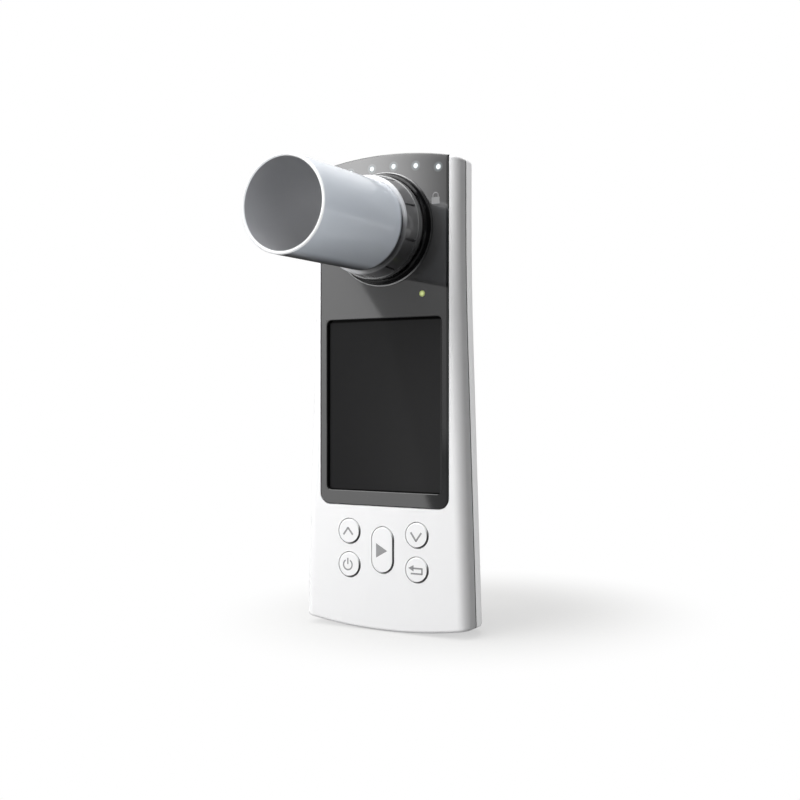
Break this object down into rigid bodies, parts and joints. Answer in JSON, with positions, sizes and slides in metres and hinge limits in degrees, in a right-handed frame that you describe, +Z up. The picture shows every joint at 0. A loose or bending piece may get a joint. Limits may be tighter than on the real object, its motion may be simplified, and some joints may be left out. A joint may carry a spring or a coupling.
{
  "type": "handheld spirometer",
  "caption": "Handheld turbine spirometer with a clip-in turbine, pull-off mouthpiece tube, colour display and press buttons, standing upright.",
  "frame": {"origin": "centre of the bounding box at the lowest point of the case's foot", "axes": "+Z up along the case, +X to the right as the user sees the front, +Y into the case; the mouthpiece points along -Y"},
  "size_m": [0.0636, 0.0794, 0.161],
  "materials": {
    "case_white": "satin white moulded plastic",
    "panel_black": "polished dark grey acrylic",
    "display_glass": "polished dark glass",
    "display_frame": "matt black",
    "bezel_black": "polished black",
    "inner_black": "matt black",
    "seal_rubber": "matt",
    "sensor_lens": "clear dark epoxy",
    "turbine_smoke": "smoky translucent plastic",
    "stator_clear": "clear plastic",
    "bearing_brass": "turned",
    "steel": "bright",
    "rotor_black": "matt black",
    "mouthpiece_smoke": "blue-grey translucent plastic",
    "button_white": "satin white plastic",
    "switch_black": "matt black",
    "board_green": "solder mask",
    "led_white": "clear resin",
    "guide_clear": "clear plastic",
    "led_green": "clear resin",
    "guide_green": "clear green plastic",
    "battery_silver": "foil pouch",
    "tin_plate": "tin plated"
  },
  "bodies": {
    "case": {"front_cover": "case_white", "rear_cover": "case_white", "front_panel": "panel_black", "display_glass": "display_glass", "display_module": "display_frame", "bezel_ring": "bezel_black", "sensor_socket": "inner_black", "duct_seal": "seal_rubber", "infrared_emitter": "sensor_lens", "infrared_detector": "sensor_lens", "button_switches": "switch_black", "main_board": "board_green", "level_leds": "led_white", "level_light_guides": "guide_clear", "status_led": "led_green", "status_light_guide": "guide_green", "battery": "battery_silver", "shield_can": "tin_plate", "buzzer": "switch_black", "usb_socket": "tin_plate", "case_screws": "steel"},
    "turbine": {"turbine_housing": "turbine_smoke", "front_stator": "stator_clear", "rear_stator": "stator_clear", "front_bearing": "bearing_brass", "rear_bearing": "bearing_brass"},
    "rotor": {"rotor_shaft": "steel", "rotor_vane": "rotor_black"},
    "mouthpiece": {"mouthpiece": "mouthpiece_smoke"},
    "up_button": {"up_button": "button_white"},
    "down_button": {"down_button": "button_white"},
    "power_button": {"power_button": "button_white"},
    "return_button": {"return_button": "button_white"},
    "start_button": {"start_button": "button_white"}
  },
  "joints": [
    {"name": "turbine_lock", "type": "hinge", "parent": "case", "child": "turbine", "pos_m": [0, 0.01855, 0.1357], "axis": [0, -1, 0], "range_deg": [0, 38]},
    {"name": "rotor_spin", "type": "hinge", "parent": "turbine", "child": "rotor", "pos_m": [0, 0.02755, 0.1357], "axis": [0, -1, 0], "continuous": true},
    {"name": "mouthpiece_pull", "type": "slide", "parent": "turbine", "child": "mouthpiece", "axis": [0, -1, 0], "range_m": [0, 0.012]},
    {"name": "up_press", "type": "slide", "parent": "case", "child": "up_button", "axis": [0, 1, 0], "range_m": [0, 0.0003], "stiffness_N_per_m": 1500},
    {"name": "down_press", "type": "slide", "parent": "case", "child": "down_button", "axis": [0, 1, 0], "range_m": [0, 0.0003], "stiffness_N_per_m": 1500},
    {"name": "power_press", "type": "slide", "parent": "case", "child": "power_button", "axis": [0, 1, 0], "range_m": [0, 0.0003], "stiffness_N_per_m": 1500},
    {"name": "return_press", "type": "slide", "parent": "case", "child": "return_button", "axis": [0, 1, 0], "range_m": [0, 0.0003], "stiffness_N_per_m": 1500},
    {"name": "start_press", "type": "slide", "parent": "case", "child": "start_button", "axis": [0, 1, 0], "range_m": [0, 0.0003], "stiffness_N_per_m": 1500}
  ]
}
